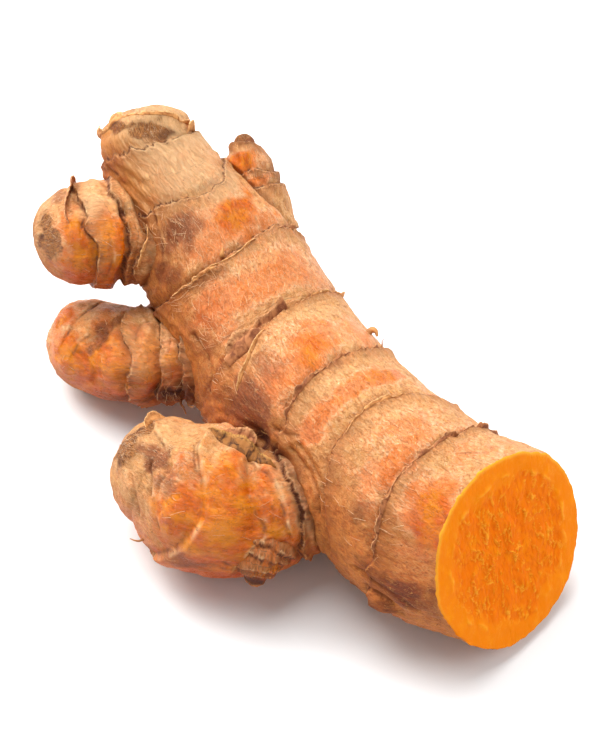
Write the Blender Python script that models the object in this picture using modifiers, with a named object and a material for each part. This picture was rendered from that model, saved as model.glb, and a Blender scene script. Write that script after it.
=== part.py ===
"""Fresh turmeric rhizome, cut across at one end.

One piece of root: a bent main stem with four side fingers, a small bud on the largest of them,
raised growth rings and a few root scars. It lies on its underside. +X runs along the main stem
to the cut end, +Z is up, and the origin is under the middle of its box.
"""

import bmesh
import bpy
from mathutils import Vector

MM = 0.001
NODE = "turmeric_rhizome"

# Centre lines: x, y, z and radius in mm, from the tip or the root of each stem.
MAIN_STEM = [
    (-37.5, 1.5, 28.6, 2.8),
    (-36.8, 1.2, 28.2, 4.8),
    (-35.5, 0.7, 27.6, 5.8),
    (-33.2, 0.2, 26.0, 6.2),
    (-30.1, 0.5, 23.8, 6.9),
    (-27.0, 1.2, 21.0, 8.2),
    (-18.6, 2.8, 15.2, 10.4),
    (-8.4, 3.2, 10.9, 11.2),
    (4.6, 3.4, 11.1, 11.5),
    (16.2, 5.4, 11.3, 11.6),
    (24.9, 7.5, 11.7, 12.0),
    (33.4, 12.0, 12.7, 11.8),
    (42.8, 15.4, 13.9, 11.8),
]
FINGER_A = [
    (-23.1, -1.8, 19.0, 5.5),
    (-26.0, -5.3, 19.0, 5.7),
    (-27.6, -7.0, 19.3, 6.7),
    (-28.9, -9.5, 19.7, 6.8),
    (-29.9, -11.7, 19.8, 6.3),
]
FINGER_B = [
    (-8.1, -1.0, 10.0, 5.3),
    (-11.4, -4.2, 10.0, 5.5),
    (-13.7, -6.6, 9.5, 5.3),
    (-16.4, -9.5, 8.5, 5.8),
    (-20.1, -11.9, 7.0, 6.1),
    (-24.1, -14.2, 5.8, 5.9),
]
FINGER_C = [
    (14.3, 0.3, 10.0, 6.0),
    (12.6, -4.3, 9.5, 6.8),
    (11.0, -8.7, 8.6, 8.0),
    (8.1, -12.1, 8.4, 9.0),
    (4.4, -14.6, 8.5, 8.9),
    (0.8, -16.4, 9.0, 7.0),
]
FINGER_D = [
    (-20.2, 9.4, 17.5, 4.4),
    (-24.1, 10.5, 20.5, 3.7),
    (-25.7, 10.8, 22.0, 3.3),
    (-27.4, 11.1, 23.5, 2.6),
    (-28.9, 11.4, 24.6, 1.6),
]
BUD = [
    (13.0, -11.0, 7.5, 4.4),
    (15.3, -11.2, 5.4, 2.7),
    (16.5, -12.0, 4.3, 1.4),
]

# Growth rings: how far along each stem they are, as places in the lists above.
MAIN_RINGS = [3, 5, 6, 7, 8, 9, 10]
RINGS_A = [1, 3]
RINGS_B = [1, 2, 3, 4]
RINGS_C = [1, 3]
RINGS_D = [1, 2, 3]
RING_THICKNESS = 1.3
RING_HEIGHT = 0.45

# Root scars and sleeping buds: x, y, z and radius in mm.
KNOBS = [
    (-17.4, 12.0, 17.8, 1.4),
    (-0.1, 13.8, 15.8, 1.8),
    (17.5, 16.4, 17.8, 1.9),
    (28.4, -1.0, 5.8, 2.6),
]

CUT_POINT = (33.4, 12.0, 12.7)
CUT_NORMAL = (0.87, 0.28, 0.41)
VOXEL = 0.55
SMOOTH_STEPS = 4
KEPT_SHARE = 0.09
CUTTER_SIZE = 120.0


def clear_scene():
    for thing in list(bpy.data.objects):
        bpy.data.objects.remove(thing, do_unlink=True)


def new_collection(name):
    collection = bpy.data.collections.new(name)
    bpy.context.scene.collection.children.link(collection)
    return collection


def move_to(collection, thing):
    for old in list(thing.users_collection):
        old.objects.unlink(thing)
    collection.objects.link(thing)


def stem(name, stations):
    """A round stem whose radius follows its centre line, as a closed mesh."""
    curve = bpy.data.curves.new(name, "CURVE")
    curve.dimensions = "3D"
    curve.bevel_depth = MM
    curve.bevel_resolution = 10
    curve.resolution_u = 8
    curve.use_fill_caps = True
    spline = curve.splines.new("BEZIER")
    spline.radius_interpolation = "CARDINAL"
    spline.bezier_points.add(len(stations) - 1)
    for point, (x, y, z, radius) in zip(spline.bezier_points, stations):
        point.co = Vector((x, y, z)) * MM
        point.radius = radius
        point.handle_left_type = "AUTO"
        point.handle_right_type = "AUTO"
    tube = bpy.data.objects.new(name, curve)
    bpy.context.scene.collection.objects.link(tube)
    bpy.context.view_layer.update()
    depsgraph = bpy.context.evaluated_depsgraph_get()
    mesh = bpy.data.meshes.new_from_object(tube.evaluated_get(depsgraph))
    bm = bmesh.new()
    bm.from_mesh(mesh)
    bmesh.ops.remove_doubles(bm, verts=bm.verts, dist=0.01 * MM)
    bmesh.ops.recalc_face_normals(bm, faces=bm.faces)
    bm.to_mesh(mesh)
    bm.free()
    solid = bpy.data.objects.new(name + "_solid", mesh)
    bpy.context.scene.collection.objects.link(solid)
    bpy.data.objects.remove(tube)
    return [solid]


def round_end(name, stations):
    """A ball that rounds off a finger's free end."""
    x, y, z, radius = stations[-1]
    bpy.ops.mesh.primitive_uv_sphere_add(
        segments=32, ring_count=16, radius=radius * MM, location=Vector((x, y, z)) * MM
    )
    ball = bpy.context.object
    ball.name = name
    return [ball]


def rings(name, stations, places):
    """Raised growth rings, square to the stem at the given places."""
    made = []
    for place in places:
        x, y, z, radius = stations[place]
        before = Vector(stations[place - 1][:3])
        after = Vector(stations[place + 1][:3])
        turn = (after - before).to_track_quat("Z", "Y").to_euler()
        half = RING_THICKNESS / 2
        bpy.ops.mesh.primitive_torus_add(
            location=Vector((x, y, z)) * MM,
            rotation=turn,
            major_segments=48,
            minor_segments=8,
            major_radius=(radius + RING_HEIGHT - half) * MM,
            minor_radius=half * MM,
        )
        ring = bpy.context.object
        ring.name = name
        made.append(ring)
    return made


def knobs():
    made = []
    for x, y, z, radius in KNOBS:
        bpy.ops.mesh.primitive_uv_sphere_add(
            segments=24, ring_count=12, radius=radius * MM, location=Vector((x, y, z)) * MM
        )
        knob = bpy.context.object
        knob.name = "knob"
        made.append(knob)
    return made


def join(pieces, name):
    bpy.ops.object.select_all(action="DESELECT")
    for piece in pieces:
        piece.select_set(True)
    bpy.context.view_layer.objects.active = pieces[0]
    bpy.ops.object.join()
    whole = bpy.context.object
    whole.name = name
    bpy.ops.object.transform_apply(location=True, rotation=True, scale=True)
    return whole


def block_cutter(name, point, outward, collection):
    """A block whose near face passes through a point and looks back along its outward normal."""
    bpy.ops.mesh.primitive_cube_add(size=CUTTER_SIZE * MM)
    block = bpy.context.object
    block.name = name
    outward = Vector(outward).normalized()
    block.rotation_euler = outward.to_track_quat("Z", "Y").to_euler()
    block.location = (Vector(point) + outward * CUTTER_SIZE / 2) * MM
    block.hide_render = True
    block.display_type = "WIRE"
    move_to(collection, block)
    return block


def cut_with(thing, cutter):
    cut = thing.modifiers.new(cutter.name, "BOOLEAN")
    cut.operation = "DIFFERENCE"
    cut.solver = "EXACT"
    cut.object = cutter


def melt_together(thing):
    """One closed skin over all the stems, rings and knobs, with softened creases."""
    skin = thing.modifiers.new("skin", "REMESH")
    skin.mode = "VOXEL"
    skin.voxel_size = VOXEL * MM
    soften = thing.modifiers.new("soften", "SMOOTH")
    soften.factor = 0.5
    soften.iterations = SMOOTH_STEPS
    thin = thing.modifiers.new("thin", "DECIMATE")
    thin.ratio = KEPT_SHARE


def root_material():
    skin = bpy.data.materials.new("root_skin")
    skin.use_nodes = True
    shader = skin.node_tree.nodes["Principled BSDF"]
    shader.inputs["Base Color"].default_value = (0.60, 0.28, 0.11, 1.0)
    shader.inputs["Roughness"].default_value = 0.5
    shader.inputs["Metallic"].default_value = 0.0
    return skin


def build():
    clear_scene()
    parts = new_collection("turmeric_root")
    cutters = new_collection("cutters")
    pieces = stem("main_stem", MAIN_STEM)
    for name, stations in (
        ("finger_a", FINGER_A),
        ("finger_b", FINGER_B),
        ("finger_c", FINGER_C),
        ("finger_d", FINGER_D),
        ("bud", BUD),
    ):
        pieces += stem(name, stations) + round_end(name + "_end", stations)
    for stations, places in (
        (MAIN_STEM, MAIN_RINGS),
        (FINGER_A, RINGS_A),
        (FINGER_B, RINGS_B),
        (FINGER_C, RINGS_C),
        (FINGER_D, RINGS_D),
    ):
        pieces += rings("ring", stations, places)
    pieces += knobs()
    rhizome = join(pieces, NODE)
    rhizome.data.materials.clear()
    rhizome.data.materials.append(root_material())
    move_to(parts, rhizome)
    melt_together(rhizome)
    cut_with(rhizome, block_cutter("cut_end", CUT_POINT, CUT_NORMAL, cutters))
    cut_with(rhizome, block_cutter("table", (0, 0, 0), (0, 0, -1), cutters))


build()
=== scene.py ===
import math

import bpy
import numpy as np
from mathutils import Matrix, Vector, noise


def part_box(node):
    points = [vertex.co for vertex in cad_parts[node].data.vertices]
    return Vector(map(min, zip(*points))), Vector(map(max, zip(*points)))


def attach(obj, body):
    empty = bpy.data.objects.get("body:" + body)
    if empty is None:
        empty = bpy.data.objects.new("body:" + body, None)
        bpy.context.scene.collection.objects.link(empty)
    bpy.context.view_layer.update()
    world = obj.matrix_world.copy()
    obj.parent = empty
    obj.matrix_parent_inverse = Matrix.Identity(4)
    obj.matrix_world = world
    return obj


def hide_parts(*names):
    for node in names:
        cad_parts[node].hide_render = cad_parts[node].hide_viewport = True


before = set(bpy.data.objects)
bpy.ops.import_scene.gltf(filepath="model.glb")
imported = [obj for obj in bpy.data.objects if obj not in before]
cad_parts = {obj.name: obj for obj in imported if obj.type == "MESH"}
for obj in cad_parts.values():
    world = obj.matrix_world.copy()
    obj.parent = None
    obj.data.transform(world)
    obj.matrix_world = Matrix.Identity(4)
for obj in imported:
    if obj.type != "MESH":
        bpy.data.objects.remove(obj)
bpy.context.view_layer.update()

# A fresh turmeric root, cut across at one end: a bent main stem, three fingers on one side, a
# small pointed one on the other, and a bud on the largest finger. Lengths are in mm until a mesh
# is placed, and turns are in degrees: 0 is right of a stem looking to its tip, and 90 is on top.

MM = 0.001
NODE = "turmeric_rhizome"
FAR = 1e9  # mm, farther than anything on the root
PLAIN = 40.0  # mm, at which skin counts as clear of every leaf scar
DIRT_AND_SHADE_LINE = 0.17  # mm, half the width of the dirt and painted shade in a fold, and of the painted shadow by a scale's edge
SUNK_BASE = 2.0  # mm that the hidden base of a stem closes inside it
SCALE_CLEAR = 0.05  # mm that a torn scale stays above the ground
SCALE_STEP = 0.10  # mm between the columns of a torn scale
HAIR_POINTS = 6
PAINTED_SHADE_TINT = (0.80, 0.50, 0.20, 1.0)  # painted shade: what the skin's colour is multiplied by on its lower side
CAMERA_DISTANCE = 0.31375
low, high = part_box(NODE)
MIDDLE = np.array([(low.x + high.x) / 2, (low.y + high.y) / 2, low.z])

# Centre lines, from the base of each stem to its tip: x, y, z and radius in mm.
MAIN_STEM = [
    (42.8, 15.4, 13.9, 11.8), (33.4, 12.0, 12.7, 11.8), (24.9, 7.5, 11.7, 12.0),
    (16.2, 5.4, 11.3, 11.6), (4.6, 3.4, 11.1, 11.5), (-8.4, 3.2, 10.9, 11.2), (-18.6, 2.8, 15.2, 10.4),
    (-27.0, 1.2, 21.0, 8.2), (-30.1, 0.5, 23.8, 6.9), (-33.2, 0.2, 26.0, 6.3), (-35.5, 0.7, 27.6, 5.8),
]
FINGER_A = [
    (-23.1, -1.8, 19.0, 5.5), (-26.0, -5.3, 19.0, 5.7), (-27.6, -7.0, 19.3, 6.7),
    (-28.9, -9.5, 19.7, 6.8), (-29.9, -11.7, 19.8, 6.3),
]
FINGER_B = [
    (-8.1, -1.0, 10.0, 5.3), (-11.4, -4.2, 10.0, 5.5), (-13.7, -6.6, 9.5, 5.3),
    (-16.4, -9.5, 8.5, 5.8), (-20.1, -11.9, 7.0, 6.1), (-24.1, -14.2, 5.8, 5.9),
]
FINGER_C = [
    (14.3, 0.3, 10.0, 6.0), (12.6, -4.3, 9.5, 6.8), (11.0, -8.7, 8.6, 8.0), (8.1, -12.1, 8.4, 9.0),
    (4.4, -14.6, 8.5, 8.9), (0.8, -16.4, 9.0, 7.0),
]
FINGER_D = [
    (-20.2, 9.4, 17.5, 4.4), (-24.1, 10.5, 20.5, 3.7), (-25.7, 10.8, 22.0, 3.3),
    (-27.4, 11.1, 23.5, 2.6), (-28.9, 11.4, 24.6, 1.6),
]
BUD = [
    (14.5, -10.8, 8.6, 3.9), (15.8, -11.7, 8.4, 3.9), (16.8, -12.5, 7.7, 3.3), (17.4, -13.0, 6.8, 2.4),
    (17.7, -13.4, 5.8, 1.4),
]
CUT_POINT = np.array([33.4, 12.0, 12.7])
CUT_NORMAL = np.array([0.87, 0.28, 0.41]) / math.hypot(0.87, 0.28, 0.41)


# ---------------------------------------------------------------- shape helpers

def fine_noise(points, size, octaves=3):
    """Smooth random relief from -1 to 1 at each point, with lumps of about a size in mm."""
    flat = np.reshape(points, (-1, 3)) / size
    found = [noise.fractal(Vector(p), 1.0, 2.0, octaves) for p in flat]
    return np.reshape(found, np.shape(points)[:-1])


def smooth_step(start, end, values):
    """0 at the start, 1 at the end, and smooth between; the start may be the higher one."""
    t = np.clip((values - start) / (end - start), 0.0, 1.0)
    return t * t * (3 - 2 * t)


def smooth_through(knots, values, at):
    """A smooth curve through the values at the knots, read at other places."""
    knots = np.asarray(knots, float)
    values = np.asarray(values, float)
    slopes = np.gradient(values, knots, axis=0)
    place = np.clip(np.searchsorted(knots, at, side="right") - 1, 0, len(knots) - 2)
    step = knots[place + 1] - knots[place]
    t = (at - knots[place]) / step
    if values.ndim > 1:
        step = step[..., None]
        t = t[..., None]
    out = (2 * t**3 - 3 * t**2 + 1) * values[place] + (t**3 - 2 * t**2 + t) * step * slopes[place]
    return out + (3 * t**2 - 2 * t**3) * values[place + 1] + (t**3 - t**2) * step * slopes[place + 1]


def ring_path(knots, turn):
    """The length of a ring at each turn, smooth all the way round. Knots are (degrees, mm)."""
    turns = np.radians([knot[0] for knot in knots])
    lengths = np.array([knot[1] for knot in knots], float)
    whole = 2 * math.pi
    turns = np.concatenate([turns[-2:] - whole, turns, turns[:2] + whole])
    lengths = np.concatenate([lengths[-2:], lengths, lengths[:2]])
    return smooth_through(turns, lengths, (turn - turns[1]) % whole + turns[1])


def finer(path, parts=6):
    """More points on a smooth curve through a path of points."""
    path = np.asarray(path, float)
    at = np.linspace(0, len(path) - 1, (len(path) - 1) * parts + 1)
    return smooth_through(np.arange(len(path)), path, at)


def circle(turns):
    """Points on a flat circle of radius 1."""
    return np.stack([np.cos(turns), np.sin(turns), turns * 0], -1)


def edge_noise(at, row, layer, size, octaves):
    """Smooth random relief along a strip; each row and layer has its own."""
    return fine_noise(np.stack([at, at * 0 + row, at * 0 + layer], -1), size, octaves)


def unit(vectors):
    return vectors / np.maximum(np.linalg.norm(vectors, axis=-1), 1e-9)[..., None]


class Stem:
    """A bent round stem. Its length runs from 0 at its base, in mm, and the turn round it is 0 on
    the right looking to the tip and a quarter turn on top."""

    def __init__(self, stations, dome, seed):
        points = np.array(stations, float)
        gaps = np.linalg.norm(np.diff(points[:, :3], axis=0), axis=1)
        knots = np.concatenate([[0.0], np.cumsum(gaps)])
        line = smooth_through(knots, points, np.arange(0.0, knots[-1], 0.1))
        centre = line[:, :3]
        radius = line[:, 3]
        heading = unit(centre[-1] - centre[-3])
        arc = np.linspace(0, math.pi / 2, 60)[1:]
        end = centre[-1] + np.outer(np.sin(arc) * radius[-1] * dome, heading)
        self.centre = np.vstack([centre, end])
        self.radius = np.concatenate([radius, radius[-1] * np.cos(arc)])
        moves = np.linalg.norm(np.diff(self.centre, axis=0), axis=1)
        moves = np.hypot(moves, np.diff(self.radius))
        self.length = np.concatenate([[0.0], np.cumsum(moves)])
        ahead = np.gradient(self.centre, axis=0)
        ahead[-60:] = heading
        ahead = unit(ahead)
        self.side = unit(np.cross(ahead, [0.0, 0.0, 1.0]))
        self.up = np.cross(self.side, ahead)
        self.girth = float(np.max(self.radius))
        self.seed = seed

    def read(self, values, length):
        flat = np.ravel(length)
        found = np.stack([np.interp(flat, self.length, v) for v in values.T], -1)
        return found.reshape(np.shape(length) + (values.shape[1],))

    def thickness(self, length):
        return np.interp(np.ravel(length), self.length, self.radius).reshape(np.shape(length))

    def place(self, length, turn):
        """Points on the plain round stem, in mm in the part's frame."""
        out = self.read(self.side, length) * np.cos(turn)[..., None]
        out = out + self.read(self.up, length) * np.sin(turn)[..., None]
        return self.read(self.centre, length) + out * self.thickness(length)[..., None]

    def outside(self, points):
        """How far points are outside the plain stem, in mm."""
        found = np.full(points.shape[:-1], FAR)
        for centre, radius in zip(self.centre[::4], self.radius[::4]):
            found = np.minimum(found, np.linalg.norm(points - centre, axis=-1) - radius)
        return found


PAINTS = ("rosy", "gold", "stain", "cork", "straw", "dirt_and_shade", "pale", "painted_shade")


class Skin:
    """The skin of a stem while it is shaped and painted: rows along the stem, columns round it."""

    def __init__(self, name, stem, rows, columns, start=None):
        self.name = name
        self.stem = stem
        self.rows = rows
        self.columns = columns
        self.turns = np.linspace(-math.pi / 2, 3 * math.pi / 2, columns + 1)
        self.turn = np.tile(self.turns, (rows + 1, 1))
        self.begin = start(self.turns) if start else np.zeros(columns + 1)
        self.share = np.concatenate([[0.0], np.linspace(0, 1, rows)])
        self.length = self.begin + (stem.length[-1] - self.begin) * self.share[:, None]
        self.around = stem.thickness(self.length)
        self.plain = stem.place(self.length, self.turn)
        self.straight = np.stack([
            stem.girth * np.cos(self.turn), stem.girth * np.sin(self.turn), self.length,
        ], -1)
        self.out = self.outward(self.plain)
        self.height = np.zeros(self.length.shape)
        self.paint = {paint: np.zeros(self.length.shape) for paint in PAINTS}
        self.behind = np.full(self.length.shape, PLAIN)
        self.gap = np.full(self.length.shape, PLAIN)
        self.wobble = 0.5 * fine_noise(self.plain + stem.seed, 1.6, 3)
        self.wobble_too = 0.5 * fine_noise(self.plain + stem.seed + 40, 1.6, 3)
        self.drift = 1.5 * fine_noise(self.plain + stem.seed + 80, 3.6, 2)
        self.drift_too = 1.5 * fine_noise(self.plain + stem.seed + 120, 3.6, 2)

    def outward(self, points):
        along = np.gradient(points, axis=0)
        around = np.gradient(points, axis=1)
        around[:, 0] = points[:, 1] - points[:, -2]
        around[:, -1] = around[:, 0]
        out = unit(np.cross(along, around))
        out[0] = out[1]
        out[-1] = unit(self.stem.centre[-1] - self.stem.centre[-30])
        return out

    def apart(self, length, turn):
        """How far a place on the skin is from every point, along and round, in mm."""
        bend = np.radians(turn) - self.turn
        bend = (bend + math.pi) % (2 * math.pi) - math.pi
        return length - self.length, bend * self.around

    def near(self, length, turn, long, wide, ragged=0.35):
        """1 inside a patch of half a length and half a width, and 0 well outside."""
        along, round_it = self.apart(length, turn)
        small = min(long, wide, 2.0) / 2.0
        along = along + small * self.drift
        round_it = round_it + small * self.drift_too
        reach = np.hypot(along / long, round_it / wide) + ragged * self.wobble * 1.6
        return smooth_step(1.45, 0.45, reach)

    def cover(self, paint, share):
        self.paint[paint] = np.maximum(self.paint[paint], share)

    def dab(self, paint, length, turn, long, wide, share=1.0, ragged=0.35):
        self.cover(paint, share * self.near(length, turn, long, wide, ragged))

    def lump(self, length, turn, long, wide, height):
        along, round_it = self.apart(length, turn)
        self.height += height * np.exp(-((along / long) ** 2) - (round_it / wide) ** 2)

    def to_path(self, path, wander=0.25):
        """How far every point is from a path of (mm, degrees) on the skin: less than 0 on its
        other side."""
        path = finer(path)
        found = np.full(self.length.shape, FAR)
        for first, second in zip(path[:-1], path[1:]):
            ax, ay = self.apart(*first)
            bx, by = self.apart(*second)
            ax = ax + wander * self.wobble
            bx = bx + wander * self.wobble
            ay = ay + wander * self.wobble_too
            by = by + wander * self.wobble_too
            dx = bx - ax
            dy = by - ay
            t = np.clip(-(ax * dx + ay * dy) / np.maximum(dx * dx + dy * dy, 1e-9), 0, 1)
            away = np.hypot(ax + t * dx, ay + t * dy)
            away = np.copysign(away, ax * dy - ay * dx)
            found = np.where(np.abs(away) < np.abs(found), away, found)
        return found

    def crease(self, path, depth, width, dirt_and_shade_share=0.9):
        """A fold pressed into the skin, with dirt and painted shade along its bottom."""
        away = np.abs(self.to_path(path))
        self.height -= depth * np.exp(-((away / width) ** 2))
        broken = np.clip(0.55 + 2.4 * self.wobble_too, 0.0, 1.1)
        self.cover("dirt_and_shade", dirt_and_shade_share * np.exp(-((away / DIRT_AND_SHADE_LINE) ** 2)) * broken)

    def ridge(self, path, height, width, pale=0.8):
        """The thin edge of an old scale that lies flat on the skin, on the left of the path."""
        away = self.to_path(path)
        fade = np.exp(-((away / 2.2) ** 2))
        self.height += height * smooth_step(-width, width, away) * fade
        broken = np.clip(0.35 + 3.0 * self.wobble, 0.0, 1.1)
        self.cover("pale", pale * np.exp(-(((away - 0.10) / 0.16) ** 2)) * broken)
        # A painted shadow line on the path's other side, under the scale's raised edge.
        broken = np.clip(0.5 - 2.4 * self.wobble_too, 0, 1)
        self.cover("dirt_and_shade", pale * np.exp(-(((away + 0.24) / DIRT_AND_SHADE_LINE) ** 2)) * broken)

    def ring(self, knots, height, ragged):
        """The scar of a leaf all the way round: its rim points to the tip."""
        hoop = circle(self.turns) * self.stem.girth
        torn = fine_noise(hoop + self.stem.seed + knots[0][1], 2.4, 4)
        fine = fine_noise(hoop + self.stem.seed + 9, 0.7, 3)
        line = ring_path(knots, self.turns) + ragged * (1.5 * torn + 0.4 * fine)
        gap = line - self.length + 0.3 * self.wobble
        share = 0.55 + 0.45 * fine_noise(hoop + knots[0][1], 5.0, 2)
        step = smooth_step(-0.3, 0.1, gap)
        past = np.maximum(gap, 0)
        crinkle = fine_noise(self.straight * [1.0, 1.0, 0.35] + self.stem.seed, 0.8, 3)
        self.height += 0.5 * height * crinkle * step * np.exp(-past / 1.3)
        self.height += 1.5 * height * share * step * np.exp(-past / 2.0)
        self.height -= 1.1 * height * (1 - step) * np.exp(-((gap / 0.9) ** 2))
        self.behind = np.where((gap >= 0) & (gap < self.behind), gap, self.behind)
        self.gap = np.where(np.abs(gap) < np.abs(self.gap), gap, self.gap)

    def wrinkle(self):
        """The skin's own relief: soft lumps, fine lumps and lines along the stem."""
        base = self.plain + self.stem.seed
        self.height += 0.32 * fine_noise(base, 8.0, 2) + 0.15 * fine_noise(base, 2.2, 4)
        lines = self.straight * [1.0, 1.0, 0.3] + self.stem.seed
        self.height += 0.09 * fine_noise(lines, 0.9, 4)

    def crowd(self, others):
        """Ripples, with dirt and painted shade, where other stems grow out of this one."""
        away = np.full(self.length.shape, FAR)
        for other in others:
            away = np.minimum(away, other.outside(self.plain))
        close = np.clip(away, -2.0, 12.0)
        self.height += 0.16 * np.sin(close * 4.4 + 2.5 * self.wobble) * np.exp(-np.abs(close) / 2.2)
        self.cover("dirt_and_shade", 0.35 * smooth_step(0.55, -0.1, close + 0.5 * self.wobble))

    def settle(self, lit, dark, lean):
        """Moves the skin out by its height, rests it on the ground and paints shade on its lower side.
        """
        self.points = self.plain + self.out * self.height[..., None]
        self.points[:, -1] = self.points[:, 0]
        inward = unit(self.stem.centre[8] - self.stem.centre[0])
        self.points[0] = self.points[1].mean(0) + inward * SUNK_BASE
        self.points[-1] = self.points[-1].mean(0)
        self.points[..., 2] = np.maximum(self.points[..., 2], 0.0)
        facing = self.outward(self.plain + self.out * (0.4 * self.height)[..., None])
        self.paint["painted_shade"] = smooth_step(lit, dark, facing[..., 2] + lean * facing[..., 1])

    def foot(self, length, turn):
        """The point on the finished skin, the way out of it and the way along it."""
        length = np.asarray(length, float)
        turn = (np.radians(turn) + math.pi / 2) % (2 * math.pi)
        column = turn / (2 * math.pi) * self.columns
        first = np.minimum(column.astype(int), self.columns - 1)
        found = []
        for at, share in ((first, first + 1 - column), (first + 1, column - first)):
            run = (length - self.begin[at]) / (self.stem.length[-1] - self.begin[at])
            row = np.clip(run * (self.rows - 1) + 1, 1, self.rows - 1.001)
            low_row = row.astype(int)
            t = (row - low_row)[..., None]
            point = self.points[low_row, at] * (1 - t) + self.points[low_row + 1, at] * t
            along = self.plain[low_row + 1, at] - self.plain[low_row, at]
            found.append([value * share[..., None] for value in (point, self.out[low_row, at], along)])
        point, out, along = (one + two for one, two in zip(*found))
        return point, unit(out), unit(along)

    def mesh(self, material):
        skin, row, column = flat_grid(self.name, self.rows, self.columns)
        layers = dict(self.paint)
        layers["grow"] = self.straight
        layers["behind"] = self.behind
        layers["gap"] = self.gap
        set_points(skin, self.points[row, column], {n: v[row, column] for n, v in layers.items()})
        close_seams()
        dress(skin, material)
        return skin


def flat_grid(name, rows, columns):
    """A new flat grid, and the row and column of each of its points."""
    bpy.ops.object.select_all(action="DESELECT")
    bpy.ops.mesh.primitive_grid_add(x_subdivisions=columns, y_subdivisions=rows, size=2)
    piece = bpy.context.object
    piece.name = name
    flat = np.zeros(len(piece.data.vertices) * 3, np.float32)
    piece.data.vertices.foreach_get("co", flat)
    flat = flat.reshape(-1, 3)
    column = np.rint((flat[:, 0] + 1) / 2 * columns).astype(int)
    row = np.rint((flat[:, 1] + 1) / 2 * rows).astype(int)
    return piece, row, column


def set_points(piece, points, layers):
    """Moves the points of a mesh to places in mm and gives them their painted values."""
    mesh = piece.data
    mesh.vertices.foreach_set("co", (points * MM + MIDDLE).astype(np.float32).ravel())
    for name, values in layers.items():
        values = np.asarray(values, np.float32)
        kind = "FLOAT_VECTOR" if values.ndim == 2 else "FLOAT"
        layer = mesh.attributes.new(name, kind, "POINT")
        layer.data.foreach_set("vector" if values.ndim == 2 else "value", values.ravel())
    mesh.update()


def close_seams():
    """Joins the edges and poles of the active piece, with its faces outwards and smooth."""
    bpy.ops.object.mode_set(mode="EDIT")
    bpy.ops.mesh.select_all(action="SELECT")
    bpy.ops.mesh.remove_doubles(threshold=0.002 * MM)
    bpy.ops.mesh.select_all(action="SELECT")
    bpy.ops.mesh.normals_make_consistent(inside=False)
    bpy.ops.object.mode_set(mode="OBJECT")
    bpy.ops.object.shade_smooth_by_angle(angle=math.radians(70))


def dress(piece, material):
    piece.data.materials.clear()
    piece.data.materials.append(material)


# ---------------------------------------------------------------- materials

class Wire:
    """A socket in a material. Sums of wires add the Math nodes that work them out."""

    def __init__(self, tree, socket):
        self.tree = tree
        self.socket = socket

    def add(self, kind, settings=None, inputs=None, output=0):
        """Adds a node, sets its settings and then its sockets, and gives one of its outputs."""
        node = self.tree.nodes.new(kind)
        for name, value in (settings or {}).items():
            setattr(node, name, value)
        for name, value in (inputs or {}).items():
            if isinstance(value, Wire):
                self.tree.links.new(value.socket, node.inputs[name])
            else:
                node.inputs[name].default_value = value
        return Wire(self.tree, node.outputs[output])

    def math(self, operation, first, second):
        return self.add("ShaderNodeMath", {"operation": operation}, {0: first, 1: second})

    def __add__(self, other):
        return self.math("ADD", self, other)

    __radd__ = __add__

    def __sub__(self, other):
        return self.math("SUBTRACT", self, other)

    def __rsub__(self, other):
        return self.math("SUBTRACT", other, self)

    def __mul__(self, other):
        return self.math("MULTIPLY", self, other)

    __rmul__ = __mul__

    def __abs__(self):
        return self.math("ABSOLUTE", self, 0.0)

    def most(self, other):
        return self.math("MAXIMUM", self, other)

    def least(self, other):
        return self.math("MINIMUM", self, other)

    def line(self, centre, sharpness):
        """1 where the value is at the centre, and 0 a little away from it."""
        return (1 - abs(self - centre) * sharpness).most(0.0)

    def step(self, start, end):
        """0 below the start, 1 above the end, and smooth between."""
        settings = {"interpolation_type": "SMOOTHSTEP"}
        if start < end:
            return self.add("ShaderNodeMapRange", settings, {0: self, 1: start, 2: end})
        return 1 - self.add("ShaderNodeMapRange", settings, {0: self, 1: end, 2: start})

    def stretch(self, x, y, z):
        return self.add("ShaderNodeVectorMath", {"operation": "MULTIPLY"}, {0: self, 1: (x, y, z)})

    def noise(self, scale, detail=4.0, roughness=0.5, distortion=0.0):
        inputs = {
            "Vector": self, "Scale": scale, "Detail": detail,
            "Roughness": roughness, "Distortion": distortion,
        }
        return self.add("ShaderNodeTexNoise", None, inputs)

    def blend(self, first, second, how="MIX"):
        """Mixes two colours, with this wire as the share of the second."""
        inputs = {0: self, 6: first, 7: second}
        return self.add("ShaderNodeMix", {"data_type": "RGBA", "blend_type": how}, inputs, 2)


def tone(red, green, blue):
    """A paint colour, from 0 to 255 as on a colour card, made linear."""
    return tuple(((c / 255 + 0.055) / 1.055) ** 2.4 for c in (red, green, blue)) + (1.0,)


def new_material(name):
    material = bpy.data.materials.new(name)
    material.use_nodes = True
    material.node_tree.nodes.clear()
    return material, Wire(material.node_tree, None)


def painted(start, name, output=2):
    """A value painted on the points: 2 gives a number and 1 gives a vector."""
    return start.add("ShaderNodeAttribute", {"attribute_name": name}, None, output)


def close(start, color, roughness, height, **fixed):
    """Ends a material: its colour, roughness and relief in mm, and what is the same all over."""
    shader = start.tree.nodes.new("ShaderNodeBsdfPrincipled")
    start.tree.links.new(color.socket, shader.inputs["Base Color"])
    start.tree.links.new(roughness.socket, shader.inputs["Roughness"])
    bump = start.add("ShaderNodeBump", None, {"Height": height, "Strength": 1.0, "Distance": MM})
    start.tree.links.new(bump.socket, shader.inputs["Normal"])
    for name, value in fixed.items():
        shader.inputs[name.replace("_", " ")].default_value = value
    out = start.tree.nodes.new("ShaderNodeOutputMaterial")
    start.tree.links.new(shader.outputs[0], out.inputs[0])


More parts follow.
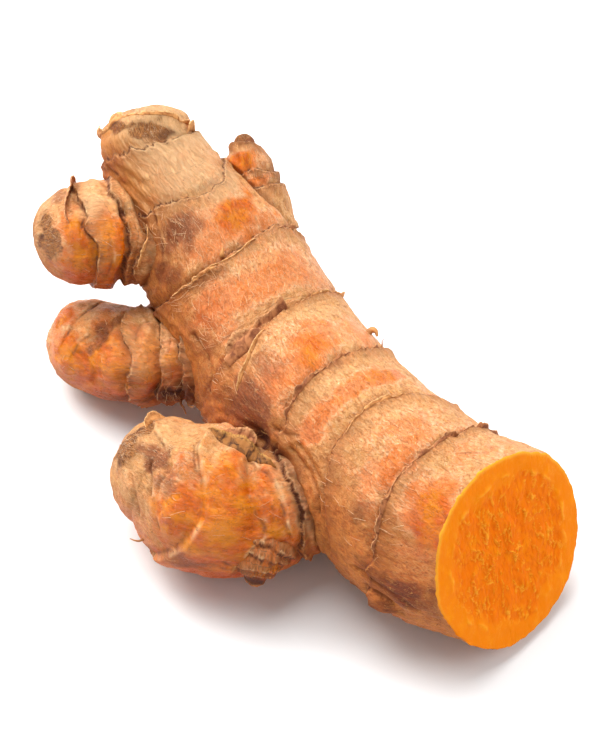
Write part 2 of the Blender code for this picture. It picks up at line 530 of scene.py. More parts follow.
def root_skin():
    """Dry tan skin that is thin and orange in places, with stains, bark and leaf scars."""
    material, start = new_material("root_skin")
    grow = painted(start, "grow", 1)
    behind = painted(start, "behind")
    gap = painted(start, "gap")
    rosy, gold, stain, cork, straw, dirt_and_shade, pale, painted_shade = (painted(start, paint) for paint in PAINTS)

    # Grain, from broad clouds to fine threads along the stem.
    broad = grow.noise(0.16, 2.0)
    soft = grow.noise(0.5, 4.0, 0.55)
    mottle = grow.noise(1.3, 6.0, 0.62, 0.6)
    grain = grow.noise(4.2, 5.0, 0.72)
    fuzz = grow.stretch(1.0, 1.0, 0.35).noise(5.0, 5.0, 0.72, 1.2)
    fibre = grow.stretch(1.0, 1.0, 0.16).noise(3.6, 5.0, 0.68, 1.0)
    strand = grow.stretch(1.0, 1.0, 0.45).noise(2.0, 6.0, 0.62, 2.2)
    web = grow.stretch(1.0, 1.0, 0.5).noise(1.5, 4.0, 0.58, 1.6).line(0.5, 26)
    web_too = grow.stretch(1.0, 1.0, 0.4).noise(2.3, 3.0, 0.60, 1.2).line(0.47, 22)

    # Dull tan skin.
    tan = broad.step(0.38, 0.62).blend(tone(228, 162, 98), tone(220, 156, 86))
    tan = (soft.step(0.44, 0.66) * 0.8).blend(tan, tone(232, 148, 86))
    tan = (mottle.step(0.60, 0.38) * 0.7).blend(tan, tone(204, 128, 66))
    tan = (soft.step(0.46, 0.34) * 0.6).blend(tan, tone(206, 140, 84))
    tan = (fuzz.step(0.42, 0.68) * 0.75).blend(tan, tone(246, 194, 136))
    tan = (grain.step(0.46, 0.34) * 0.45).blend(tan, tone(180, 108, 56))

    # Peach and orange patches, with pale flakes at their edges.
    patch = rosy + (mottle - 0.5) * 1.0 + (strand - 0.5) * 0.6 + (grain - 0.5) * 0.5
    warm = (rosy + (soft - 0.5) * 0.9 + (grain - 0.5) * 0.4).step(0.0, 0.7)
    share = patch.step(0.34, 0.92)
    peach = (fuzz.step(0.40, 0.66) * 0.6).blend(tone(232, 140, 76), tone(250, 192, 132))
    peach = (grain.step(0.46, 0.34) * 0.45).blend(peach, tone(204, 104, 50))
    orange = soft.step(0.38, 0.62).blend(tone(228, 120, 40), tone(232, 136, 74))
    orange = (mottle.step(0.45, 0.7) * 0.4).blend(orange, tone(238, 154, 82))
    orange = (fibre.step(0.48, 0.72) * 0.5).blend(orange, tone(246, 180, 122))
    orange = (grain.step(0.44, 0.32) * 0.4).blend(orange, tone(210, 88, 26))
    # Pale specks on the orange: painted glints.
    orange = (grain.step(0.60, 0.72) * 0.6).blend(orange, tone(252, 206, 162))
    color = warm.blend(tan, peach)
    color = share.blend(color, orange)
    flake = patch.line(0.50, 4.0) * strand.step(0.47, 0.58)
    color = (flake * 0.8).blend(color, tone(248, 202, 156))

    # Papery skin.
    papery = (fuzz.step(0.42, 0.66) * 0.7).blend(tone(226, 162, 100), tone(246, 198, 144))
    papery = (strand.step(0.44, 0.34) * 0.6).blend(papery, tone(184, 118, 60))
    dry = (straw + (mottle - 0.5) * 1.0 + (strand - 0.5) * 0.7).step(0.25, 0.90)
    color = (dry * 0.8).blend(color, papery)

    # Golden flesh that shows through, purple-brown stains and corky bark.
    amber = soft.step(0.36, 0.62).blend(tone(230, 132, 0), tone(216, 100, 0))
    glow = (gold * 1.25 + (mottle - 0.5) * 0.4 + (soft - 0.5) * 0.4).step(0.05, 0.60)
    color = glow.blend(color, amber)
    color = (glow * fibre.step(0.58, 0.74) * 0.2).blend(color, tone(246, 176, 70))
    bruise = fibre.step(0.34, 0.68).blend(tone(104, 46, 20), tone(174, 98, 50))
    bruise = (fuzz.step(0.5, 0.7) * 0.7).blend(bruise, tone(204, 132, 80))
    hurt = (stain + (mottle - 0.5) * 0.9 + (fibre - 0.5) * 0.6).step(0.15, 1.05)
    color = hurt.blend(color, bruise)
    bark = strand.step(0.36, 0.60).blend(tone(98, 46, 18), tone(206, 132, 66))
    bark = (grain.step(0.52, 0.70) * 0.8).blend(bark, tone(236, 176, 92))
    bark = (mottle.step(0.44, 0.60) * 0.6).blend(bark, tone(138, 76, 34))
    rough = (cork + (mottle - 0.5) * 0.8 + (grain - 0.5) * 0.4).step(0.30, 0.75)
    color = rough.blend(color, bark)

    # Fine pale and dark threads.
    color = (web * mottle.step(0.46, 0.62) * (0.75 - glow * 0.6)).blend(color, tone(254, 216, 168))
    color = (web_too * mottle.step(0.56, 0.40) * 0.55).blend(color, tone(142, 74, 32))

    # Leaf scars: a brown band past the line, a shadow before it, and its pale lip.
    torn = gap + (strand - 0.5) * 0.6 + (grain - 0.5) * 0.25
    band = torn.step(-0.05, 0.15) * behind.step(2.8, 0.2) * (fibre + mottle).step(0.80, 1.10)
    color = (band * 0.75).blend(color, tone(186, 120, 66))
    under = torn.step(-1.1, -0.1) * torn.step(0.10, -0.05)
    color = (under * (mottle + soft).step(0.80, 1.10) * 0.7).blend(color, tone(182, 108, 56))
    rim = torn.line(0.30, 3.0)
    color = (rim * strand.step(0.42, 0.58) * 0.8).blend(color, tone(150, 86, 42))
    lip = torn.line(0.08, 7.0)
    color = (lip * mottle.step(0.44, 0.62)).blend(color, tone(240, 190, 136))
    # Pale paint: dry pale skin and scale edges, and on two fingers painted light that lifts shaded
    # places.
    color = (pale * (0.45 + fibre) * (1 - rough * 0.9)).least(1.0).blend(color, tone(248, 204, 150))

    # Dirt with painted shade in folds, a painted shadow line under each scar's rim, specks, and
    # painted shade on the lower side.
    # A painted shadow line just past each scar's rim, on the tip side.
    line = torn.line(-0.14, 4.4) * (0.40 + mottle.step(0.40, 0.56) * 0.7)
    dirt_and_shadow = (dirt_and_shade * (0.5 + mottle) + line * 0.9).least(1.0)
    color = dirt_and_shadow.blend(color, tone(96, 46, 16))
    speck = (grow.noise(2.6, 3.0, 0.6) - 0.66).step(0.0, 0.05)
    color = (speck * 0.7).blend(color, tone(140, 62, 28))
    # Painted shade: the lower side of the skin multiplied darker and warmer.
    color = painted_shade.blend(color, PAINTED_SHADE_TINT, "MULTIPLY")

    height = fuzz * 0.08 + strand * 0.16 + grain * 0.10 + mottle * 0.10 + (1 - share) * 0.05
    height = height + rough * strand * 0.35 - line * 0.16 + web * 0.04 - web_too * 0.05
    roughness = 0.54 - warm * 0.12 - share * 0.10 - glow * 0.12 + grain * 0.10
    roughness = roughness + (rough + dirt_and_shadow).least(1.0) * 0.15
    close(start, color, roughness, height, Subsurface_Weight=0.06, Subsurface_Scale=0.6 * MM,
          Subsurface_Radius=(1.0, 0.45, 0.15), Specular_IOR_Level=0.34)
    return material


def root_flesh():
    """Moist orange flesh, paler at its rim, with painted highlights on its crests."""
    material, start = new_material("root_flesh")
    grow = painted(start, "grow", 1)
    inside = painted(start, "inside")
    crest_highlight = painted(start, "crest_highlight")
    edge = painted(start, "edge")
    soft = grow.noise(0.45, 4.0, 0.55)
    grain = grow.noise(4.0, 5.0, 0.65)
    fibre = grow.stretch(1.0, 0.3, 1.0).noise(2.4, 6.0, 0.62, 0.8)
    core = (inside + (soft - 0.5) * 0.7).step(0.25, 0.75)
    color = core.blend(tone(240, 128, 0), tone(238, 118, 0))
    color = (soft.step(0.5, 0.68) * 0.5).blend(color, tone(246, 146, 0))
    color = (fibre.step(0.54, 0.34) * core * 0.7).blend(color, tone(224, 100, 0))
    # Painted highlights along the crests and the ledge.
    color = (crest_highlight * (0.2 + grain)).least(1.0).blend(color, tone(252, 176, 50))
    color = (edge * (0.4 + grain)).least(1.0).blend(color, tone(244, 164, 48))
    height = fibre * 0.18 + grain * 0.08
    roughness = 0.52 - crest_highlight * 0.14 + grain * 0.1
    close(start, color, roughness, height, Subsurface_Weight=0.15, Subsurface_Scale=1.2 * MM,
          Subsurface_Radius=(1.0, 0.4, 0.05), Specular_IOR_Level=0.05)
    return material


def dry_scale(name, deep, light, tip):
    """Papery scale: deep and light in streaks along its veins, and its own tone at the torn edge."""
    material, start = new_material(name)
    grow = painted(start, "grow", 1)
    reach = painted(start, "reach")
    vein = grow.stretch(1.0, 1.0, 0.8).noise(0.9, 6.0, 0.60, 1.0)
    grain = grow.noise(3.0, 4.0, 0.6)
    color = vein.step(0.34, 0.62).blend(deep, light)
    color = (reach.step(0.55, 1.0) * grain.step(0.35, 0.6)).blend(color, tip)
    height = vein * 0.12 + grain * 0.03
    roughness = 0.62 + grain * 0.2
    close(start, color, roughness, height, Specular_IOR_Level=0.3)
    return material


def dry_fibre(name, first, second):
    """Hair or rootlet: two tones that change along it."""
    material, start = new_material(name)
    place = start.add("ShaderNodeTexCoord", None, None, 3)
    change = place.noise(420.0, 3.0, 0.6)
    color = change.step(0.36, 0.62).blend(first, second)
    roughness = 0.5 + change * 0.2
    close(start, color, roughness, change * 0.05, Specular_IOR_Level=0.35)
    return material


# ---------------------------------------------------------------- the parts of the root

def cut_lengths(stem):
    """Gives the length at which the skin meets the cut, for each turn round the stem."""
    def find(turns):
        lengths = np.arange(0.0, 26.0, 0.1)
        grid_length, grid_turn = np.meshgrid(lengths, turns, indexing="ij")
        depth = (stem.place(grid_length, grid_turn) - CUT_POINT) @ CUT_NORMAL
        return np.array([np.interp(0.0, -column, lengths) for column in depth.T])
    return find


def flesh_relief(grow, reach):
    """The relief of cut flesh in mm, its crests, painted pale as highlights, and where it is core:
    wrinkles inside, pits all over and a low ledge where the core begins. The reach is 1 at the rim."""
    inside = smooth_step(0.86, 0.66, reach + 0.12 * fine_noise(grow, 5.0, 3))
    folds = fine_noise(grow * [1.0, 0.42, 1.0] + 3.0, 1.1, 5)
    crest_highlight = smooth_step(0.78, 0.98, 1 - np.abs(folds) * 2.2)
    crest_highlight = crest_highlight * smooth_step(-0.35, 0.0, fine_noise(grow, 2.0, 2))
    pits = fine_noise(grow * [1.0, 0.6, 1.0], 1.7, 5)
    relief = inside * (0.20 * (crest_highlight - 0.4) + 0.30 * pits - 0.14) + (1 - inside) * 0.10 * pits
    ledge = np.exp(-(((reach + 0.05 * fine_noise(grow, 3.0, 3) - 0.80) / 0.018) ** 2))
    relief = relief + 0.16 * ledge * smooth_step(-0.1, 0.3, pits)
    # The painted highlight also runs along the ledge.
    crest_highlight = crest_highlight * (0.25 + 0.75 * inside) + 0.8 * ledge * smooth_step(0.0, 0.4, pits)
    return relief, np.clip(crest_highlight, 0, 1), inside


def cut_face(skin, material):
    """The cut flesh: a shallow disc across the end of the main stem, wrinkled inside."""
    rows = 84
    edge_rows = 4
    columns = skin.columns
    face, row, column = flat_grid("cut_face", rows, columns)
    rim = skin.points[1]
    middle = rim[:-1].mean(0)
    spread = rim - middle
    torn = fine_noise(circle(skin.turns) * 12, 0.9, 4)
    # Share of the rim's radius, and mm out of the cut, for each row from the hidden back inwards.
    reach = np.concatenate([[0.0, 0.93, 0.99, 1.0, 0.995], np.linspace(0.985, 0.0, rows - edge_rows)])
    lift = np.concatenate([[-1.0, -1.0, -0.45, 0.0, 0.14], np.full(rows - edge_rows, 0.16)])
    outer = reach[:, None] + 0.010 * torn * smooth_step(0.9, 1.0, reach)[:, None]
    points = middle + spread * outer[..., None] + CUT_NORMAL * lift[:, None, None]
    across = unit(np.cross([0.0, 0.0, 1.0], CUT_NORMAL))
    rise = np.cross(CUT_NORMAL, across)
    flat = points - middle
    x = flat @ across
    y = flat @ rise
    lean = math.radians(12)
    grow = np.stack([
        x * math.cos(lean) - y * math.sin(lean), x * math.sin(lean) + y * math.cos(lean), x * 0,
    ], -1)
    relief, crest_highlight, inside = flesh_relief(grow, reach[:, None])
    top = (np.arange(rows + 1) >= edge_rows)[:, None]
    points = points + CUT_NORMAL * (relief * top)[..., None]
    points[:, -1] = points[:, 0]
    points[0] = points[0].mean(0)
    points[-1] = points[-1].mean(0)
    edge = smooth_step(0.955, 0.99, reach[:, None]) * smooth_step(-0.3, 0.5, np.sin(skin.turns))
    layers = {"grow": grow, "inside": inside, "crest_highlight": crest_highlight, "edge": edge}
    set_points(face, points[row, column], {n: v[row, column] for n, v in layers.items()})
    close_seams()
    dress(face, material)
    return face


def torn_reach(at, reach, seed, ragged):
    """How far a torn scale reaches along its foot: short at its ends, with gaps if it is ragged."""
    reach = np.maximum(reach, 0.05)
    ends = smooth_step(0.0, 0.5, at) * smooth_step(at[-1], at[-1] - 0.5, at)
    if ragged > 0.4:
        gone = edge_noise(at, seed, 60 + reach[0], 2.2, 2)
        reach = reach * (0.2 + 0.9 * smooth_step(-0.25, 0.25, gone))
    return reach * (0.25 + 0.75 * ends)


def torn_scale(name, skin, feet, curl, ragged, material, way=0.0, thick=0.09):
    """A thin torn scale that stands on the skin. Each foot is its length in mm, its turn in
    degrees, how far it reaches in mm and how steeply it stands in degrees. Its way is in
    radians: 0 to the tip and a quarter turn round the stem."""
    path = np.asarray(feet, float)
    round_it = np.radians(np.diff(path[:, 1])) * skin.stem.thickness(path[1:, 0])
    bends = np.hypot(np.diff(path[:, 0]), round_it)
    knots = np.concatenate([[0.0], np.cumsum(bends)])
    columns = max(12, int(knots[-1] / SCALE_STEP))
    rows = 7
    at = np.linspace(0, knots[-1], columns + 1)
    length, turn, reach, stand = smooth_through(knots, path, at).T
    piece, row, column = flat_grid(name, rows, columns)
    foot, out, _ = skin.foot(length, turn)
    torn = edge_noise(at, skin.stem.seed, curl, 1.3, 4) + 0.25 * edge_noise(at, 0, 30 + curl, 0.35, 2)
    reach = torn_reach(at, reach, skin.stem.seed, ragged)
    points = np.zeros((rows + 1, columns + 1, 3))
    points[0] = foot - out * 0.18
    wave = 8 * edge_noise(at, 0, 5 + curl, 2.2, 2)
    girth = skin.stem.thickness(length)
    ahead = 0.0
    lift = 0.05
    for number in range(1, rows + 1):
        angle = np.radians(stand + wave + curl * number / rows)
        stride = reach / rows * np.clip(1 + 2.2 * ragged * torn * (number / rows) ** 2, 0.1, 3.0)
        ahead = ahead + np.cos(angle) * stride
        lift = lift + np.sin(angle) * reach / rows
        far = np.clip(length + ahead * math.cos(way), 0.3, skin.stem.length[-1] - 0.3)
        under, _, _ = skin.foot(far, turn + np.degrees(ahead * math.sin(way) / girth))
        points[number] = under + out * lift[:, None]
    points[..., 2] = np.maximum(points[..., 2], SCALE_CLEAR)
    share = np.tile(np.linspace(0, 1, rows + 1)[:, None], (1, columns + 1))
    grow = np.stack([np.tile(at, (rows + 1, 1)), share * 0 + skin.stem.seed, share * reach], -1)
    set_points(piece, points[row, column], {"grow": grow[row, column], "reach": share[row, column]})
    leaf = piece.modifiers.new("leaf", "SOLIDIFY")
    leaf.thickness = thick * MM
    leaf.offset = 0.0
    bpy.ops.object.modifier_apply(modifier="leaf")
    bpy.ops.object.shade_smooth()
    dress(piece, material)
    return piece


def threads(name, strands, material):
    """Thin round fibres in one piece. Each strand is its points in mm and its radius in mm."""
    bpy.ops.object.select_all(action="DESELECT")
    line = bpy.data.curves.new(name, "CURVE")
    line.dimensions = "3D"
    line.bevel_depth = MM
    line.bevel_resolution = 0
    line.use_fill_caps = True
    for points, radius in strands:
        spline = line.splines.new("POLY")
        spline.points.add(len(points) - 1)
        points = np.maximum(points, [-FAR, -FAR, radius])
        for number, (spot, point) in enumerate(zip(spline.points, points)):
            spot.co = (*(point * MM + MIDDLE), 1.0)
            spot.radius = radius * (1.0 - 0.65 * number / (len(points) - 1))
    piece = bpy.data.objects.new(name, line)
    bpy.context.scene.collection.objects.link(piece)
    piece.select_set(True)
    bpy.context.view_layer.objects.active = piece
    bpy.ops.object.convert(target="MESH")
    piece = bpy.context.object
    piece.name = name
    bpy.ops.object.shade_smooth()
    dress(piece, material)
    return piece


def hairs(skin, patches, dice):
    """Strands that lie on a skin. Each patch is how many, where (mm and degrees), how far they
    spread each way, their heading and its spread in degrees, their length and how they lift."""
    strands = []
    for count, length, turn, long, wide, heading, spread, size, lift in patches:
        for _ in range(count):
            at = length + long * dice.uniform(-1, 1)
            round_it = turn + wide * dice.uniform(-1, 1)
            aim = math.radians(heading + spread * dice.uniform(-1, 1))
            reach = size * dice.uniform(0.5, 1.2)
            bend = dice.uniform(-0.7, 0.7)
            high = lift * dice.uniform(0.0, 1.0)
            steps = np.linspace(0, 1, HAIR_POINTS)
            girth = float(skin.stem.thickness(np.array(at)))
            angle = aim + bend * steps
            lengths = at + np.cumsum(np.cos(angle)) * reach / HAIR_POINTS
            turns = round_it + np.degrees(np.cumsum(np.sin(angle)) * reach / HAIR_POINTS / girth)
            lengths = np.clip(lengths, 0.5, skin.stem.length[-1] - 0.5)
            point, out, _ = skin.foot(lengths, turns)
            point = point + out * (0.03 + high * np.sin(steps * math.pi * 0.7))[:, None]
            strands.append((point, dice.uniform(0.018, 0.036)))
    return strands


def rootlet(skin, length, turn, path, radius):
    """A strand that leaves the skin: its path is in mm out of the skin, along it and up."""
    foot, out, along = skin.foot(np.array([length]), np.array([turn]))
    across = np.cross(along, out)
    path = finer([(-0.4, 0.0, 0.0)] + list(path), 4)
    points = foot + out * path[:, :1] + along * path[:, 1:2] + across * path[:, 2:3]
    return points, radius


# ---------------------------------------------------------------- the main stem

# Leaf scars: (turn in degrees, length in mm) all the way round, then rim height and raggedness.
MAIN_RINGS = [
    ([(0, 17.5), (50, 20.2), (90, 21.3), (110, 21.7), (140, 20.7), (175, 20.1), (240, 17.0),
      (300, 15.0)], 0.4, 0.4),
    ([(20, 26.0), (51, 28.9), (80, 31.0), (102, 31.3), (130, 29.9), (146, 28.5), (163, 26.8),
      (180, 25.5), (240, 22.0), (310, 22.5)], 0.35, 0.3),
    ([(40, 40.1), (70, 39.5), (100, 39.2), (118, 38.5), (135, 37.5), (170, 36.8), (230, 36.8),
      (300, 38.5)], 0.5, 0.45),
    ([(10, 54.5), (50, 53.5), (66, 52.2), (79, 51.0), (89, 50.0), (101, 49.0), (120, 48.7),
      (143, 48.7), (180, 49.5), (250, 52.0), (310, 54.0)], 0.4, 0.3),
    ([(27, 64.4), (63, 66.0), (94, 65.5), (145, 65.1), (172, 65.0), (240, 64.5), (300, 64.0)], 0.42,
      0.35),
    ([(20, 77.5), (67, 76.0), (84, 75.2), (119, 77.0), (152, 77.5), (200, 77.5), (270, 77.0)], 0.22,
      0.4),
    ([(0, 83.0), (90, 83.2), (113, 83.4), (180, 83.6), (270, 83.0)], 0.3, 0.3),
]
# Creases: path of (mm, degrees), depth and width in mm, dirt and painted shade.
MAIN_CREASES = [
    ([(20.7, 187), (20.2, 193), (19.0, 195), (17.8, 193), (17.3, 187), (17.8, 181), (19.0, 179),
      (20.2, 181), (20.7, 187)], 0.45, 0.3, 0.9),
    ([(21.8, 176), (20.4, 173), (18.8, 172), (17.0, 174), (15.6, 180)], 0.35, 0.3, 0.8),
    ([(57.9, 148), (54.7, 147), (50.2, 151), (48.5, 160)], 0.35, 0.45, 0.8),
    ([(35.2, 142), (33.4, 144), (31.3, 147), (29.4, 153), (28.6, 164)], 0.55, 0.4, 0.8),
    ([(34.6, 136), (32.6, 139), (30.6, 143), (28.6, 150), (27.6, 160)], 0.35, 0.35, 0.5),
    ([(83.6, 186), (83.3, 170), (82.4, 158)], 0.25, 0.35, 0.7),
    ([(38.4, 140), (36.9, 137), (35.4, 132)], 0.2, 0.3, 0.6),
    ([(81.9, 168), (80.2, 158), (79.0, 152)], 0.15, 0.3, 0.4),
]
MAIN_RIDGES = [
    ([(47.5, 107), (46.3, 118), (45.4, 126), (44.5, 139)], 0.12, 0.2, 0.9),
    ([(77.1, 139), (74.7, 141), (72.6, 143), (70.0, 150)], 0.12, 0.25, 0.8),
    ([(53.2, 70), (54.0, 84), (53.4, 96)], 0.06, 0.2, 0.5),
    ([(18.8, 82), (16.4, 74), (14.9, 68)], 0.06, 0.25, 0.5),
]
# Lumps: length, turn, half length, half width and height in mm.
MAIN_LUMPS = [
    (19.2, 187, 1.5, 1.6, 1.54), (19.2, 168, 2.2, 1.6, 0.7), (16.4, 176, 2.4, 2.0, 0.7),
    (12.5, 30, 3.0, 3.0, 0.42), (57.0, 95, 4.5, 6.0, 0.49), (44.5, 95, 4.0, 6.0, 0.49),
    (70.5, 80, 3.5, 5.0, 0.49), (34.5, 85, 2.5, 6.0, 0.35), (26.0, 90, 3.0, 7.0, 0.42),
    (85.3, 90, 1.6, 2.4, -0.7), (86.8, 150, 1.2, 2.2, -0.56), (35.5, 158, 2.0, 2.0, -1.4),
    (39.8, 156, 1.6, 1.6, -1.54),
]
# Dabs of each paint: length, turn, half length, half width, share and how ragged.
MAIN_DABS = {
    "rosy": [
        (70.2, 80, 4.6, 5.6, 0.95, 0.4), (69.0, 104, 3.6, 5.0, 0.7, 0.5),
        (72.0, 108, 2.6, 3.0, 0.55, 0.3), (80.0, 70, 2.6, 4.0, 0.5, 0.5),
        (81.5, 104, 1.8, 3.0, 0.5, 0.5), (60.0, 85, 4.5, 8.0, 0.8, 0.35),
        (59.5, 122, 4.0, 5.0, 0.85, 0.35), (57.5, 50, 4.0, 4.0, 0.6, 0.4),
        (54.5, 128, 3.0, 3.0, 0.6, 0.4), (42.0, 92, 2.6, 4.2, 0.95, 0.45),
        (44.8, 76, 2.4, 3.2, 0.75, 0.5), (43.5, 50, 3.2, 3.4, 0.7, 0.5),
        (41.5, 115, 2.8, 4.6, 0.8, 0.4), (45.5, 100, 2.0, 3.0, 0.5, 0.5),
        (34.6, 112, 1.7, 4.4, 1.0, 0.35), (34.9, 88, 1.6, 3.4, 1.0, 0.4),
        (34.0, 66, 1.6, 3.4, 0.95, 0.4), (26.0, 84, 3.6, 4.4, 0.7, 0.5),
        (23.2, 106, 2.0, 4.6, 0.95, 0.45), (23.6, 126, 2.4, 2.6, 0.65, 0.5),
        (22.0, 60, 2.0, 4.0, 0.4, 0.5), (17.4, 116, 2.9, 4.8, 1.0, 0.2),
        (16.6, 76, 1.8, 3.2, 0.65, 0.6), (14.4, 62, 1.4, 3.0, 0.6, 0.6),
        (16.6, 152, 2.4, 2.6, 0.45, 0.5), (72.0, 20, 4.0, 4.0, 0.6, 0.4),
        (60.0, 10, 4.0, 6.0, 0.7, 0.4), (45.0, 0, 4.0, 6.0, 0.7, 0.45),
        (31.0, 20, 3.0, 6.0, 0.7, 0.45), (60.0, 250, 4.0, 7.0, 0.7, 0.45),
        (44.0, 270, 4.0, 7.0, 0.75, 0.45), (30.0, 280, 4.0, 6.0, 0.75, 0.45),
        (44.0, 220, 4.0, 5.0, 0.6, 0.45), (78.5, 60, 3.6, 4.0, 0.6, 0.5),
        (80.0, 90, 3.0, 7.0, 0.55, 0.5),
    ],
    "gold": [
        (70.6, 76, 3.4, 3.6, 0.42, 0.4), (42.0, 90, 1.6, 2.6, 0.35, 0.3),
        (16.4, 124, 2.4, 3.6, 0.5, 0.3), (34.4, 70, 1.2, 2.8, 0.35, 0.4),
    ],
    "stain": [
        (72.6, 128, 3.0, 3.6, 0.9, 0.3), (68.8, 150, 2.6, 2.6, 0.75, 0.4),
        (43.8, 118, 2.4, 2.2, 0.65, 0.4), (42.6, 145, 3.8, 4.0, 0.9, 0.4),
        (56.0, 150, 5.0, 2.0, 0.5, 0.5), (38.9, 86, 0.9, 1.8, 0.8, 0.4),
        (76.6, 82, 0.9, 2.2, 0.6, 0.5), (16.6, 172, 2.6, 2.2, 0.95, 0.5),
        (13.8, 178, 1.4, 2.4, 0.6, 0.5), (23.4, 141, 1.6, 1.6, 0.4, 0.7),
        (64.0, 118, 1.2, 3.2, 0.55, 0.6),
    ],
    "pale": [
        (81.0, 85, 4.5, 8.0, 0.6, 0.5), (86.5, 120, 3.0, 8.0, 0.5, 0.5),
        (76.0, 70, 2.5, 4.0, 0.35, 0.5),
    ],
    "straw": [
        (86.0, 140, 3.0, 8.0, 1.0, 0.4), (86.0, 60, 2.6, 5.0, 0.9, 0.4),
        (86.0, 240, 3.0, 12.0, 0.9, 0.4), (80.6, 150, 2.4, 4.0, 0.8, 0.5),
        (37.4, 100, 1.2, 7.0, 0.8, 0.5), (48.0, 70, 1.6, 5.0, 0.7, 0.5),
        (29.4, 85, 1.6, 7.0, 0.6, 0.5), (30.0, 140, 2.4, 3.0, 0.6, 0.5),
        (62.8, 90, 1.0, 6.0, 0.6, 0.5), (74.5, 100, 1.4, 5.0, 0.5, 0.5),
    ],
    "cork": [
        (85.4, 88, 1.9, 2.4, 0.95, 0.6), (86.9, 130, 1.1, 2.6, 0.85, 0.6),
        (19.0, 188, 1.5, 1.7, 0.85, 0.5), (19.3, 168, 2.0, 1.2, 0.6, 0.6),
        (64.5, 126, 0.8, 4.2, 0.6, 0.6), (46.0, 152, 2.4, 1.6, 0.5, 0.6),
    ],
    # Dirt, with painted shade in hollows and where stems meet.
    "dirt_and_shade": [
        (35.6, 156, 2.6, 1.8, 0.95, 0.5), (39.8, 155, 1.5, 1.3, 1.0, 0.5),
        (84.2, 74, 0.6, 1.2, 0.55, 0.7), (88.0, 140, 0.8, 1.6, 0.8, 0.6),
        (22.9, 141, 0.8, 1.2, 0.4, 0.9),
    ],
}

# ---------------------------------------------------------------- the fingers

A_RINGS = [
    ([(0, 12.8), (60, 13.0), (90, 12.3), (113, 11.3), (123, 11.6), (137, 10.6), (150, 10.2),
      (180, 10.6), (240, 11.5), (300, 12.5)], 0.4, 0.2),
    ([(30, 8.5), (93, 8.6), (107, 7.6), (118, 5.9), (131, 4.9), (155, 4.8), (180, 4.9), (250, 5.5),
      (320, 7.0)], 0.45, 0.2),
    ([(60, 5.5), (90, 5.0), (122, 2.7), (143, 3.1), (165, 4.0), (200, 3.6), (300, 3.0)], 0.35, 0.2),
]
A_CREASES = [
    ([(9.9, 84), (9.4, 100), (9.8, 112)], 0.15, 0.3, 0.3),
    ([(14.0, 96), (13.4, 110), (13.9, 124)], 0.12, 0.3, 0.3),
    ([(7.2, 170), (8.0, 184), (7.4, 200)], 0.2, 0.35, 0.4),
]
A_RIDGES = [
    ([(13.8, 68), (12.9, 84), (11.4, 108), (11.9, 122)], 0.14, 0.22, 0.9),
    ([(9.0, 140), (8.6, 152), (9.0, 168)], 0.08, 0.22, 0.5),
]
A_LUMPS = [
    (8.0, 145, 2.2, 2.6, 0.88), (13.2, 128, 2.0, 2.8, 0.8), (10.6, 95, 1.8, 2.4, 0.56),
    (12.5, 165, 2.2, 2.4, 0.56), (8.0, 60, 2.0, 2.4, 0.48), (7.2, 105, 0.9, 0.8, -0.88),
]
A_DABS = {
    "gold": [
        (10.0, 165, 7.0, 8.0, 0.36, 0.5), (10.0, 152, 4.5, 3.0, 0.5, 0.5),
        (8.0, 146, 1.9, 2.0, 0.95, 0.3), (13.4, 132, 1.6, 2.0, 0.75, 0.4),
        (12.4, 162, 1.4, 1.6, 0.6, 0.4),
    ],
    "rosy": [
        (10.0, 150, 6.0, 5.0, 0.85, 0.5), (13.4, 128, 2.0, 3.2, 1.0, 0.4),
        (12.0, 160, 2.4, 2.6, 1.0, 0.4), (9.0, 100, 2.0, 2.8, 0.45, 0.6),
        (8.0, 150, 2.6, 2.6, 0.9, 0.4), (10.0, 200, 3.5, 4.0, 0.8, 0.4),
        (10.0, 270, 4.0, 5.0, 0.7, 0.4), (9.0, 20, 3.5, 5.0, 0.6, 0.5),
    ],
    "straw": [
        (10.4, 96, 2.2, 3.0, 0.8, 0.5), (17.4, 110, 2.4, 4.0, 0.6, 0.5), (7.0, 75, 1.6, 3.0, 0.6, 0.5),
    ],
    "cork": [
        (17.2, 120, 2.1, 3.0, 0.9, 0.5), (16.4, 150, 1.4, 2.0, 0.7, 0.6),
    ],
    # Dirt, with painted shade in hollows and where stems meet.
    "dirt_and_shade": [
        (7.2, 105, 0.9, 0.7, 1.0, 0.5), (18.2, 133, 0.5, 0.4, 0.9, 0.3),
    ],
    "pale": [(10.4, 98, 1.6, 2.0, 0.35, 0.6)],
    "stain": [(14.8, 60, 1.4, 2.4, 0.7, 0.5)],
}

B_RINGS = [
    ([(60, 13.9), (87, 13.8), (113, 12.5), (124, 11.9), (152, 11.9), (180, 12.4), (260, 13.0),
      (330, 13.5)], 0.6, 0.25),
    ([(60, 9.3), (107, 8.9), (135, 8.3), (155, 8.5), (180, 9.8), (230, 9.5), (300, 9.0)], 0.62,
      0.25),
    ([(60, 6.8), (110, 6.3), (155, 5.3), (180, 5.8), (240, 6.0), (300, 6.5)], 0.55, 0.25),
]
B_CREASES = [
    ([(11.4, 110), (11.6, 100), (11.4, 90), (10.7, 78)], 0.22, 0.3, 0.6),
    ([(18.6, 140), (17.1, 149), (16.2, 160), (17.0, 175)], 0.25, 0.35, 0.45),
    ([(15.4, 92), (15.0, 104), (15.6, 118), (15.9, 131)], 0.25, 0.4, 0.35),
    ([(9.9, 112), (9.6, 96), (9.9, 84)], 0.12, 0.25, 0.3),
    ([(22.6, 86), (23.6, 100), (23.0, 116)], 0.12, 0.3, 0.3),
    ([(7.4, 112), (7.6, 98), (7.2, 86)], 0.14, 0.25, 0.4),
]
B_RIDGES = [
    ([(21.3, 126), (21.0, 112), (20.8, 101), (20.4, 85), (20.2, 70)], 0.16, 0.22, 1.0),
    ([(19.4, 140), (19.0, 128), (18.2, 118)], 0.1, 0.22, 0.6),
]
